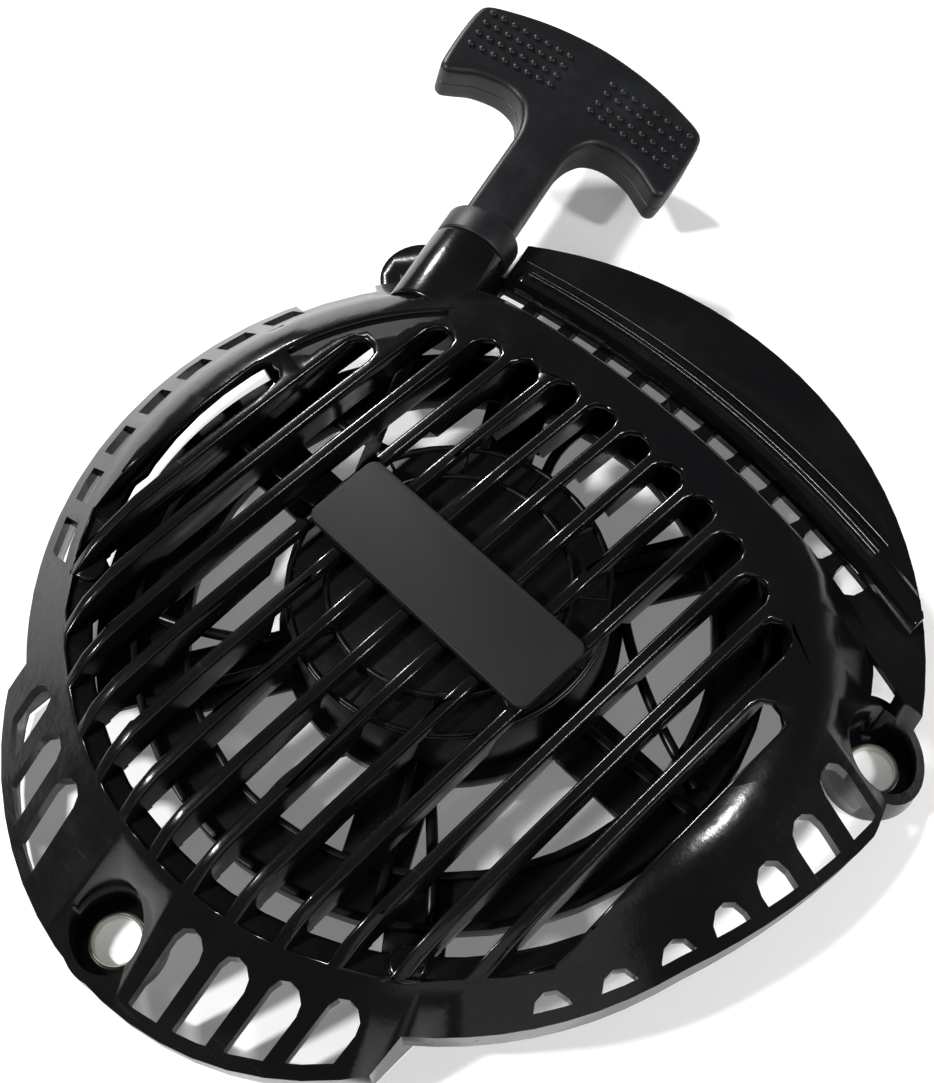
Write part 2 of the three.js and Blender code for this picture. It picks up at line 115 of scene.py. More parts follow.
class Flow:
    """A node socket that can be used in sums and products."""

    def __init__(self, graph: Graph, socket: bpy.types.NodeSocket) -> None:
        """Wrap one output socket of a graph."""
        self.graph = graph
        self.socket = socket

    def __add__(self, other: Flow | float) -> Flow:
        """Sum of two values."""
        return self.graph.math("ADD", self, other)

    __radd__ = __add__

    def __mul__(self, other: Flow | float) -> Flow:
        """Product of two values."""
        return self.graph.math("MULTIPLY", self, other)

    __rmul__ = __mul__

    def __sub__(self, other: Flow | float) -> Flow:
        """Difference of two values."""
        return self.graph.math("SUBTRACT", self, other)

    def __rsub__(self, other: Flow | float) -> Flow:
        """Difference with this value taken away."""
        return self.graph.math("SUBTRACT", other, self)

    def band(self, low: float, high: float) -> Flow:
        """Smooth step of this value from low to high.

        Args:
            low: value that gives 0.
            high: value that gives 1.

        Returns:
            The stepped value.
        """
        made = self.graph.node(
            "ShaderNodeMapRange",
            {"interpolation_type": "SMOOTHSTEP", "clamp": True},
            {"Value": self, "From Min": low, "From Max": high},
        )
        return Flow(self.graph, made.outputs["Result"])


class Graph:
    """Node tree of one material, ending in a Principled shader."""

    def __init__(self, name: str) -> None:
        """Start an empty material.

        Args:
            name: its name.
        """
        self.material = bpy.data.materials.new(name)
        self.material.use_nodes = True
        self.tree = self.material.node_tree
        self.tree.nodes.clear()
        self.output = self.tree.nodes.new("ShaderNodeOutputMaterial")
        self.shader = self.tree.nodes.new("ShaderNodeBsdfPrincipled")
        self.tree.links.new(self.shader.outputs["BSDF"], self.output.inputs["Surface"])

    def feed(self, socket: bpy.types.NodeSocket, value: object) -> None:
        """Put a value or a link on an input socket.

        Args:
            socket: the input.
            value: a Flow, or what the socket holds by itself.
        """
        if isinstance(value, Flow):
            self.tree.links.new(value.socket, socket)
        else:
            socket.default_value = value

    def node(self, kind: str, settings: dict, inputs: dict) -> bpy.types.Node:
        """Make any node.

        Args:
            kind: the node's type.
            settings: its own settings, set before the sockets.
            inputs: socket name or index to value or Flow.

        Returns:
            The node.
        """
        made = self.tree.nodes.new(kind)
        for key, value in settings.items():
            setattr(made, key, value)
        for key, value in inputs.items():
            self.feed(made.inputs[key], value)
        return made

    def math(self, operation: str, a: Flow | float, b: Flow | float) -> Flow:
        """One Math node on two values."""
        made = self.node("ShaderNodeMath", {"operation": operation}, {0: a, 1: b})
        return Flow(self, made.outputs[0])

    def place(self, scale: Sequence[float] = (1.0, 1.0, 1.0)) -> Flow:
        """Object coordinates, stretched.

        Args:
            scale: factor of each axis.

        Returns:
            The coordinates.
        """
        at = self.node("ShaderNodeTexCoord", {}, {})
        made = self.node("ShaderNodeMapping", {}, {
            "Vector": Flow(self, at.outputs["Object"]), "Scale": scale})
        return Flow(self, made.outputs["Vector"])

    def noise(self, scale: float, detail: float = 3.0, rough: float = 0.55,
              stretch: Sequence[float] = (1.0, 1.0, 1.0)) -> Flow:
        """Fractal noise in object coordinates.

        Args:
            scale: features per metre.
            detail: octaves.
            rough: weight of the small octaves.
            stretch: scale of each axis.

        Returns:
            The noise value, about 0 to 1.
        """
        made = self.node("ShaderNodeTexNoise", {}, {
            "Vector": self.place(stretch), "Scale": scale, "Detail": detail, "Roughness": rough})
        return Flow(self, made.outputs[0])

    def cells(self, scale: float) -> Flow:
        """Distance in a Voronoi pattern in object coordinates."""
        made = self.node("ShaderNodeTexVoronoi", {}, {"Vector": self.place(), "Scale": scale})
        return Flow(self, made.outputs["Distance"])

    def tint(self, mask: Flow | float, a: Flow | Sequence[float], b: Flow | Sequence[float]) -> Flow:
        """Mix two colours.

        Args:
            mask: 0 for the first colour, 1 for the second.
            a: first colour.
            b: second colour.

        Returns:
            The mixed colour.
        """
        def four(value: object) -> object:
            """A colour with its alpha, or a link as it is."""
            return value if isinstance(value, Flow) else (*value, 1.0)

        made = self.node("ShaderNodeMix", {"data_type": "RGBA"}, {0: mask, 6: four(a), 7: four(b)})
        return Flow(self, made.outputs[2])

    def bump(self, height: Flow, depth_mm: float, strength: float = 1.0, under: Flow | None = None) -> Flow:
        """Bump from a height.

        Args:
            height: the height, 0 to 1.
            depth_mm: what a height of 1 stands for.
            strength: weight of the bump.
            under: another bump that lies below this one.

        Returns:
            The normal.
        """
        inputs = {"Height": height, "Distance": depth_mm * MM, "Strength": strength}
        if under is not None:
            inputs["Normal"] = under
        return Flow(self, self.node("ShaderNodeBump", {}, inputs).outputs["Normal"])

    def finish(self, colour: object, rough: object, metal: object = 0.0, normal: Flow | None = None,
               **fixed: float) -> bpy.types.Material:
        """Feed the shader and give the material back.

        Args:
            colour: base colour, a Flow or three numbers.
            rough: roughness.
            metal: metallic.
            normal: bump, where there is one.
            **fixed: numbers for other sockets, such as Specular_IOR_Level.

        Returns:
            The material.
        """
        sockets = self.shader.inputs
        self.feed(sockets["Base Color"], colour if isinstance(colour, Flow) else (*colour, 1.0))
        self.feed(sockets["Roughness"], rough)
        self.feed(sockets["Metallic"], metal)
        if normal is not None:
            self.feed(sockets["Normal"], normal)
        for key, value in fixed.items():
            sockets[key.replace("_", " ")].default_value = value
        return self.material


@dataclass(frozen=True)
class MouldedPlastic:
    """Injection-moulded black plastic: orange-peel bump, flow clouds, dust and fine scratches."""

    name: str
    colour: tuple[float, float, float]
    cloud: tuple[float, float, float]
    rough: float
    grain_per_m: float = 1100.0
    grain_mm: float = 0.02
    dust: float = 0.25
    gloss: float = 0.24
    peel_mm: float = 0.045
    dust_colour: tuple[float, float, float] = (0.1, 0.095, 0.085)

    def build(self) -> bpy.types.Material:
        """Make the material.

        Returns:
            The material.
        """
        g = Graph(self.name)
        clouds = g.noise(34.0, 4.0, 0.6)
        haze = clouds.band(0.42, 0.78)
        specks = 1.0 - g.cells(620.0).band(0.03, 0.16)
        worn = g.noise(150.0, 5.0, 0.7).band(0.52, 0.8)
        dusty = specks * worn * self.dust
        scratch = g.noise(900.0, 2.0, 0.5, (1.0, 0.035, 0.3)).band(0.66, 0.72) * clouds.band(0.45, 0.6)
        colour = g.tint(haze, self.colour, self.cloud)
        colour = g.tint(dusty, colour, self.dust_colour)
        rough = haze * 0.1 + dusty * 0.3 + scratch * 0.12 + g.noise(420.0, 3.0) * 0.07 + (self.rough - 0.04)
        fine = g.bump(g.noise(self.grain_per_m, 2.0, 0.5), self.grain_mm, 0.7)
        peel = g.bump(g.noise(430.0, 2.0, 0.45), self.peel_mm, 0.8, fine)
        wavy = g.bump(g.noise(70.0, 2.0, 0.4), 0.12, 0.5, peel)
        return g.finish(colour, rough, 0.0, g.bump(scratch, 0.01, 0.3, wavy), Specular_IOR_Level=self.gloss)


@dataclass(frozen=True)
class GrainedGrip:
    """Spark-eroded satin plastic of the handle, paler where hands rub it."""

    name: str = "grip_satin"
    colour: tuple[float, float, float] = (0.0042, 0.0046, 0.0058)
    rubbed: tuple[float, float, float] = (0.0074, 0.0081, 0.0096)
    fleck: tuple[float, float, float] = (0.04, 0.04, 0.042)
    rough: float = 0.44
    gloss: float = 0.3

    def build(self) -> bpy.types.Material:
        """Make the material.

        Returns:
            The material.
        """
        g = Graph(self.name)
        rub = g.noise(45.0, 5.0, 0.65).band(0.45, 0.75)
        grain = g.noise(2600.0, 3.0, 0.6)
        pits = g.cells(1500.0)
        colour = g.tint(rub, self.colour, self.rubbed)
        colour = g.tint(grain.band(0.62, 0.8) * 0.2, colour, self.fleck)
        rough = rub * 0.09 + grain * 0.1 + (self.rough - 0.06)
        return g.finish(colour, rough, 0.0, g.bump(pits, 0.03, 0.5, g.bump(grain, 0.03, 0.6)),
                        Specular_IOR_Level=self.gloss)


@dataclass(frozen=True)
class PlatedSteel:
    """Zinc plate or bare spring steel: spangle, drawn lines and dull spots."""

    name: str
    colour: tuple[float, float, float]
    stain: tuple[float, float, float]
    rough: float
    lines: tuple[float, float, float] = (1.0, 1.0, 1.0)

    def build(self) -> bpy.types.Material:
        """Make the material.

        Returns:
            The material.
        """
        g = Graph(self.name)
        drawn = g.noise(1300.0, 3.0, 0.6, self.lines)
        patch = g.noise(120.0, 5.0, 0.65).band(0.45, 0.7)
        colour = g.tint(patch * 0.6, self.colour, self.stain)
        rough = drawn * 0.16 + patch * 0.14 + (self.rough - 0.1)
        return g.finish(colour, rough, 1.0, g.bump(drawn, 0.01, 0.6))


@dataclass(frozen=True)
class BraidedCord:
    """Braided nylon rope: dark yarn with painted shade in the gaps between the strands, fuzz and dust."""

    name: str = "rope_braid"
    yarn: tuple[float, float, float] = (0.016, 0.016, 0.018)
    # painted shade: colour of the dips between the strands, darker than the yarn itself
    painted_gap_shade: tuple[float, float, float] = (0.004, 0.004, 0.0045)
    dust: tuple[float, float, float] = (0.03, 0.028, 0.025)

    def build(self) -> bpy.types.Material:
        """Make the material.

        Returns:
            The material.
        """
        g = Graph(self.name)
        seen = g.node("ShaderNodeAttribute", {"attribute_name": "strand"}, {})
        strand = Flow(g, seen.outputs["Fac"])
        fibre = g.noise(5200.0, 4.0, 0.7)
        dirt = g.noise(110.0, 4.0, 0.6).band(0.4, 0.8)
        # painted shade: the yarn is darkened where the strands dip, so the gaps between them look shaded
        colour = g.tint(strand.band(0.0, 0.75), self.painted_gap_shade, self.yarn)
        colour = g.tint(dirt * 0.45, colour, self.dust)
        return g.finish(colour, fibre * 0.1 + 0.78, 0.0, g.bump(fibre, 0.05, 0.8))


@dataclass(frozen=True)
class Finishes:
    """All finishes of the starter, each built once."""

    cover: bpy.types.Material
    housing: bpy.types.Material
    nylon: bpy.types.Material
    badge: bpy.types.Material
    grip: bpy.types.Material
    zinc: bpy.types.Material
    steel: bpy.types.Material
    rope: bpy.types.Material

    @classmethod
    def build(cls) -> Finishes:
        """Make every material.

        Returns:
            The set of finishes.
        """
        return cls(
            cover=MouldedPlastic("cover_gloss", (0.0028, 0.003, 0.0034), (0.005, 0.0048, 0.0046),
                                 0.17).build(),
            housing=MouldedPlastic("housing_satin", (0.0035, 0.0036, 0.0042), (0.0062, 0.006, 0.0062), 0.3,
                                   dust=0.4).build(),
            nylon=MouldedPlastic("nylon_matt", (0.02, 0.021, 0.023), (0.034, 0.034, 0.035), 0.52,
                                 grain_mm=0.03).build(),
            badge=MouldedPlastic("badge_matt", (0.0052, 0.006, 0.0056), (0.0062, 0.007, 0.0066), 0.6,
                                 grain_per_m=2400.0, grain_mm=0.03, dust=0.1, gloss=0.25,
                                 peel_mm=0.02).build(),
            grip=GrainedGrip().build(),
            zinc=PlatedSteel("zinc_plate", (0.62, 0.6, 0.52), (0.44, 0.43, 0.4), 0.34).build(),
            steel=PlatedSteel("spring_steel", (0.42, 0.43, 0.45), (0.24, 0.22, 0.21), 0.3,
                              (1.0, 1.0, 0.1)).build(),
            rope=BraidedCord().build(),
        )


# ---------------------------------------------------------------- mesh work


@dataclass(frozen=True)
class Ring:
    """One ring of a turned shape: radius and height in millimetres, round or six-sided."""

    radius: float
    z: float
    six: bool = False

    def point(self, angle: float) -> Vector:
        """Point of the ring at an angle.

        Args:
            angle: the angle about the Z axis, in radians.

        Returns:
            The point, in metres.
        """
        r = self.radius
        if self.six:
            r /= math.cos((angle + math.pi / 6) % (math.pi / 3) - math.pi / 6)
        return Vector((r * math.cos(angle), r * math.sin(angle), self.z)) * MM


class Shaper:
    """Makes and keeps pieces in the frame."""

    MERGE_M = 2e-6
    FLAT_DEG = 0.4
    SHARP_DEG = 34.0

    def __init__(self, nodes: dict[str, bpy.types.Object]) -> None:
        """Keep the CAD nodes."""
        self.nodes = nodes

    @staticmethod
    def settle(name: str, mesh: bpy.types.Mesh, finish: bpy.types.Material, body: Body | None, slot: Slot,
               sharp_deg: float) -> bpy.types.Object:
        """Turn a mesh into a piece that rides a body, or none.

        Args:
            name: the piece's name.
            mesh: its mesh, in place.
            finish: its material.
            body: the body it rides, or None.
            slot: not used.
            sharp_deg: edges bent more than this stay sharp.

        Returns:
            The new object.
        """
        mesh.name = name
        mesh.materials.clear()
        mesh.materials.append(finish)
        mesh.shade_smooth()
        mesh.set_sharp_from_angle(angle=math.radians(sharp_deg))
        made = bpy.data.objects.new(name, mesh)
        bpy.context.scene.collection.objects.link(made)
        if body is not None:
            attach(made, body.value)
        LOG.info("%s: %d faces", name, len(mesh.polygons))
        return made

    def keep(self, name: str, work: bmesh.types.BMesh, finish: bpy.types.Material, body: Body | None,
             slot: Slot, sharp_deg: float = 40.0) -> bpy.types.Object:
        """Turn a bmesh into a piece.

        Args:
            name: the piece's name.
            work: its mesh, freed here.
            finish: its material.
            body: the body it rides, or None.
            slot: not used.
            sharp_deg: edges bent more than this stay sharp.

        Returns:
            The new object.
        """
        mesh = bpy.data.meshes.new(name)
        work.to_mesh(mesh)
        work.free()
        return self.settle(name, mesh, finish, body, slot, sharp_deg)

    def copy(self, node: str) -> bmesh.types.BMesh:
        """Merged copy of a CAD node's mesh, with flat faces joined up.

        Args:
            node: the CAD node.

        Returns:
            The copy, in metres.
        """
        work = bmesh.new()
        work.from_mesh(self.nodes[node].data)
        bmesh.ops.remove_doubles(work, verts=work.verts, dist=self.MERGE_M)
        bmesh.ops.dissolve_limit(work, angle_limit=math.radians(self.FLAT_DEG), verts=work.verts,
                                 edges=work.edges)
        return work

    @staticmethod
    def round_off(work: bmesh.types.BMesh, width_mm: float, segments: int,
                  pick: Callable[[bmesh.types.BMEdge], bool]) -> None:
        """Round the picked edges of a mesh.

        Args:
            work: the mesh.
            width_mm: width of the rounding.
            segments: steps across it.
            pick: says which edges.
        """
        edges = [e for e in work.edges if len(e.link_faces) == 2 and pick(e)]
        bmesh.ops.bevel(work, geom=edges, offset=width_mm * MM, segments=segments, profile=0.5,
                        affect="EDGES", clamp_overlap=False, offset_type="OFFSET")

    def soften(self, node: str, name: str, width_mm: float, finish: bpy.types.Material, body: Body,
               slot: Slot, pick: Callable[[bmesh.types.BMEdge], bool], segments: int = 3) -> bpy.types.Object:
        """Replace a CAD node by a copy with rounded edges.

        Args:
            node: the CAD node.
            name: the new piece's name.
            width_mm: width of the rounding.
            finish: the material.
            body: the body it rides.
            slot: not used.
            pick: says which edges to round.
            segments: steps across the rounding.

        Returns:
            The new object.
        """
        work = self.copy(node)
        self.round_off(work, width_mm, segments, pick)
        made = self.keep(name, work, finish, body, slot, self.SHARP_DEG)
        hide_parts(node)
        return made

    def middle(self, node: str) -> Vector:
        """Middle of a CAD node's box, in metres."""
        low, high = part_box(node)
        return (low + high) / 2

    @staticmethod
    def turn(rings: Sequence[Ring], sides: int, loop: bool = False) -> bmesh.types.BMesh:
        """Turned shape about the Z axis.

        Args:
            rings: its rings; a radius of 0 is a pole.
            sides: steps round the axis.
            loop: whether the last ring joins the first.

        Returns:
            The closed mesh, facing out.
        """
        work = bmesh.new()
        rows = []
        for ring in rings:
            if ring.radius == 0.0:
                rows.append([work.verts.new(ring.point(0.0))] * sides)
            else:
                rows.append([work.verts.new(ring.point(2 * math.pi * i / sides)) for i in range(sides)])
        pairs = list(zip(rows, rows[1:])) + ([(rows[-1], rows[0])] if loop else [])
        for low, high in pairs:
            for i in range(sides):
                j = (i + 1) % sides
                corners = list(dict.fromkeys((low[i], low[j], high[j], high[i])))
                if len(corners) > 2:
                    work.faces.new(corners)
        bmesh.ops.recalc_face_normals(work, faces=work.faces)
        return work


def sharp_edges(least_deg: float, length_mm: float) -> Callable[[bmesh.types.BMEdge], bool]:
    """Test for convex edges that are bent and long enough to be rounded.

    Args:
        least_deg: least bend.
        length_mm: least length.

    Returns:
        The test.
    """
    def test(edge: bmesh.types.BMEdge) -> bool:
        """Whether an edge passes."""
        return (edge.is_convex and edge.calc_length() > length_mm * MM
                and edge.calc_face_angle(0.0) > math.radians(least_deg))

    return test


def wire(radius: float, z: float, thick: float, count: int = 10) -> list[Ring]:
    """Round section of a ring-shaped wire.

    Args:
        radius: radius of the ring in millimetres.
        z: its height.
        thick: radius of the wire.
        count: steps round the section.

    Returns:
        The section's rings, to be turned as a loop.
    """
    angles = [2 * math.pi * k / count for k in range(count)]
    return [Ring(radius + thick * math.cos(a), z + thick * math.sin(a)) for a in angles]


def bridge(work: bmesh.types.BMesh, rows: Sequence[Sequence[bmesh.types.BMVert]],
           loop: bool = False) -> None:
    """Join rows of vertices into a closed skin.

    Args:
        work: the mesh that holds the vertices.
        rows: the rows, of equal count.
        loop: whether the last row joins the first; where it doesn't, both ends are capped.
    """
    count = len(rows[0])
    for a, b in list(zip(rows, rows[1:])) + ([(rows[-1], rows[0])] if loop else []):
        for k in range(count):
            j = (k + 1) % count
            work.faces.new((a[k], a[j], b[j], b[k]))
    if not loop:
        work.faces.new(rows[0])
        work.faces.new(rows[-1])


# ---------------------------------------------------------------- what repeats


class NodeTree:
    """Geometry node tree with named inputs, run once and turned into a plain mesh."""

    def __init__(self, name: str, inputs: dict[str, str]) -> None:
        """Start a tree.

        Args:
            name: the tree's name.
            inputs: input name to socket type.
        """
        self.tree = bpy.data.node_groups.new(name, "GeometryNodeTree")
        face = self.tree.interface
        face.new_socket(name="Geometry", in_out="INPUT", socket_type="NodeSocketGeometry")
        self.ids = {key: face.new_socket(name=key, in_out="INPUT", socket_type=kind).identifier
                    for key, kind in inputs.items()}
        face.new_socket(name="Geometry", in_out="OUTPUT", socket_type="NodeSocketGeometry")
        self.enter = self.tree.nodes.new("NodeGroupInput")

    def node(self, kind: str, settings: dict, links: dict) -> bpy.types.Node:
        """Add a node.

        Args:
            kind: its type.
            settings: its own settings.
            links: input name or index to an output socket or a value.

        Returns:
            The node.
        """
        made = self.tree.nodes.new(kind)
        for key, value in settings.items():
            setattr(made, key, value)
        for key, value in links.items():
            if isinstance(value, bpy.types.NodeSocket):
                self.tree.links.new(value, made.inputs[key])
            else:
                made.inputs[key].default_value = value
        return made

    def end(self, shape: bpy.types.NodeSocket) -> None:
        """Realize the instances, set the material and close the tree.

        Args:
            shape: the geometry that is given out.
        """
        real = self.node("GeometryNodeRealizeInstances", {}, {"Geometry": shape})
        painted = self.node("GeometryNodeSetMaterial", {}, {
            "Geometry": real.outputs[0], "Material": self.enter.outputs["Finish"]})
        out = self.tree.nodes.new("NodeGroupOutput")
        self.tree.links.new(painted.outputs[0], out.inputs["Geometry"])

    def run(self, seed: bpy.types.Mesh, values: dict[str, object]) -> bpy.types.Mesh:
        """Run the tree on a mesh.

        Args:
            seed: the points or lines it works on.
            values: input name to value.

        Returns:
            The plain mesh.
        """
        holder = bpy.data.objects.new("holder", seed)
        bpy.context.scene.collection.objects.link(holder)
        modifier = holder.modifiers.new("tree", "NODES")
        modifier.node_group = self.tree
        for key, value in values.items():
            modifier[self.ids[key]] = value
        graph = bpy.context.evaluated_depsgraph_get()
        mesh = bpy.data.meshes.new_from_object(holder.evaluated_get(graph), preserve_all_data_layers=True,
                                               depsgraph=graph)
        bpy.data.objects.remove(holder)
        return mesh


@dataclass(frozen=True)
class Repeater:
    """Copies of one small part on points, each turned by its own angles."""

    name: str

    def spread(self, part: bmesh.types.BMesh, spots: Sequence[Matrix], finish: bpy.types.Material,
               size: float = 1.0) -> bpy.types.Mesh:
        """Copy the part to every spot.

        Args:
            part: mesh of the part, freed here.
            spots: place and turn of each copy.
            finish: its material.
            size: scale of each copy.

        Returns:
            One plain mesh with all copies.
        """
        mesh = bpy.data.meshes.new(self.name + "_part")
        part.to_mesh(mesh)
        part.free()
        single = bpy.data.objects.new(self.name + "_part", mesh)
        seed = bpy.data.meshes.new(self.name + "_points")
        seed.from_pydata([m.to_translation() for m in spots], [], [])
        turn = seed.attributes.new("turn", "FLOAT_VECTOR", "POINT")
        for spot, matrix in zip(turn.data, spots):
            spot.vector = matrix.to_euler()
        tree = NodeTree(self.name, {"Part": "NodeSocketObject", "Size": "NodeSocketFloat",
                                    "Finish": "NodeSocketMaterial"})
        info = tree.node("GeometryNodeObjectInfo", {}, {"Object": tree.enter.outputs["Part"]})
        angles = tree.node("GeometryNodeInputNamedAttribute", {"data_type": "FLOAT_VECTOR"}, {"Name": "turn"})
        placed = tree.node("GeometryNodeInstanceOnPoints", {}, {
            "Points": tree.enter.outputs["Geometry"], "Instance": info.outputs["Geometry"],
            "Rotation": angles.outputs["Attribute"], "Scale": tree.enter.outputs["Size"]})
        tree.end(placed.outputs[0])
        made = tree.run(seed, {"Part": single, "Size": size, "Finish": finish})
        bpy.data.objects.remove(single)
        return made


@dataclass(frozen=True)
class RodRunner:
    """Round rods along polylines."""

    name: str
    sides: int = 12

    def sweep(self, lines: Sequence[Sequence[Vector]], radius_mm: float,
              finish: bpy.types.Material) -> bpy.types.Mesh:
        """Sweep a circle along every line.

        Args:
            lines: points of each line, in metres.
            radius_mm: radius of the rods.
            finish: their material.

        Returns:
            The plain mesh.
        """
        points, edges = [], []
        for line in lines:
            edges += [(len(points) + i, len(points) + i + 1) for i in range(len(line) - 1)]
            points += list(line)
        seed = bpy.data.meshes.new(self.name + "_lines")
        seed.from_pydata(points, edges, [])
        tree = NodeTree(self.name, {"Radius": "NodeSocketFloat", "Sides": "NodeSocketInt",
                                    "Finish": "NodeSocketMaterial"})
        curve = tree.node("GeometryNodeMeshToCurve", {}, {"Mesh": tree.enter.outputs["Geometry"]})
        circle = tree.node("GeometryNodeCurvePrimitiveCircle", {"mode": "RADIUS"}, {
            "Resolution": tree.enter.outputs["Sides"], "Radius": tree.enter.outputs["Radius"]})
        swept = tree.node("GeometryNodeCurveToMesh", {}, {
            "Curve": curve.outputs[0], "Profile Curve": circle.outputs[0], "Fill Caps": True})
        tree.end(swept.outputs[0])
        return tree.run(seed, {"Radius": radius_mm * MM, "Sides": self.sides, "Finish": finish})


# ---------------------------------------------------------------- sub-assemblies


@dataclass
class RopeLine:
    """Line of the rope from the guide boss to the handle."""

    angle: float = math.radians(17.0)
    across: float = 49.9
    z: float = 27.0
    boss: float = 101.3

    def at(self, along: float) -> Vector:
        """Point of the line, in metres, at a distance along it in millimetres."""
        c, s = math.cos(self.angle), math.sin(self.angle)
        return Vector((along * c - self.across * s, along * s + self.across * c, self.z)) * MM


@dataclass
class CoverShell:
    """Slatted cover with rounded slot edges and rims, and its blank badge."""

    lip_mm: float = 1.05
    least_mm: float = 0.7
    level: float = 0.75
    slat_top: float = 30.5
    sharp_deg: float = 40.0
    badge_lip: float = 0.45
    groove: tuple = (80.6, 83.6)
    groove_slope: float = 0.66
    ridge_mm: float = 0.42
    ridge_lines: tuple = (314.9, 316.6, 318.3, 321.6)
    ridge_centre: float = -220.0
    ridge_span: tuple = (-68.0, 77.0)
    ridge_steps: int = 90
    ridge_from: float = 60.0
    ridge_low: float = 20.0
    ridge_jump: float = 1.2

    def ridges(self, cover: bpy.types.Object) -> list[list[Vector]]:
        """Lines of the fine ridges beside the wing, laid on the cover's skin.

        Args:
            cover: the cover's CAD node.

        Returns:
            Points of each line, in metres.
        """
        work = bmesh.new()
        work.from_mesh(cover.data)
        skin = BVHTree.FromBMesh(work)
        work.free()
        start, end = self.ridge_span
        lines = []
        for radius in self.ridge_lines:
            line = []
            for i in range(self.ridge_steps + 1):
                y = start + (end - start) * i / self.ridge_steps
                x = self.ridge_centre + math.sqrt(radius ** 2 - y * y)
                hit = skin.ray_cast(Vector((x, y, self.ridge_from)) * MM, Vector((0, 0, -1)))[0]
                if hit is None or hit.z <= self.ridge_low * MM:
                    continue
                if not line or abs(hit.z - line[-1].z) < self.ridge_jump * MM:
                    line.append(hit)
            if len(line) > 3:
                lines.append(line)
        return lines

    def rounds(self, edge: bmesh.types.BMEdge) -> bool:
        """Whether an edge of the cover is one that the mould rounds.

        Args:
            edge: the edge.

        Returns:
            True for a sharp, level edge above slat_top that isn't an edge of the badge's groove.
        """
        if not edge.is_convex or edge.calc_length() < self.least_mm * MM:
            return False
        if edge.calc_face_angle(0.0) < math.radians(self.sharp_deg):
            return False
        middle = (edge.verts[0].co + edge.verts[1].co) / 2
        on_groove = self.groove[0] < math.hypot(middle.x, middle.y) / MM < self.groove[1]
        if on_groove and middle.y > self.groove_slope * middle.x > 0:
            return False
        flat = abs(edge.verts[0].co.z - edge.verts[1].co.z) < self.level * edge.calc_length()
        return flat and min(v.co.z for v in edge.verts) > self.slat_top * MM

    def build(self, shaper: Shaper, finishes: Finishes) -> None:
        """Make the cover and the badge.

        Args:
            shaper: keeps the pieces.
            finishes: the materials.
        """
        shaper.soften("cover", "cover_shell", self.lip_mm, finishes.cover, Body.COVER, Slot.COVER,
                      self.rounds, 4)
        lines = self.ridges(shaper.nodes["cover"])
        rods = RodRunner("wing_ridges", 10).sweep(lines, self.ridge_mm, finishes.cover)
        shaper.settle("wing_ridges", rods, finishes.cover, Body.COVER, Slot.COVER, 50)
        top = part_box("badge_plate")[1].z
        shaper.soften("badge_plate", "badge_blank", self.badge_lip, finishes.badge, Body.COVER, Slot.BADGE,
                      lambda e: min(v.co.z for v in e.verts) > top - 1e-5)


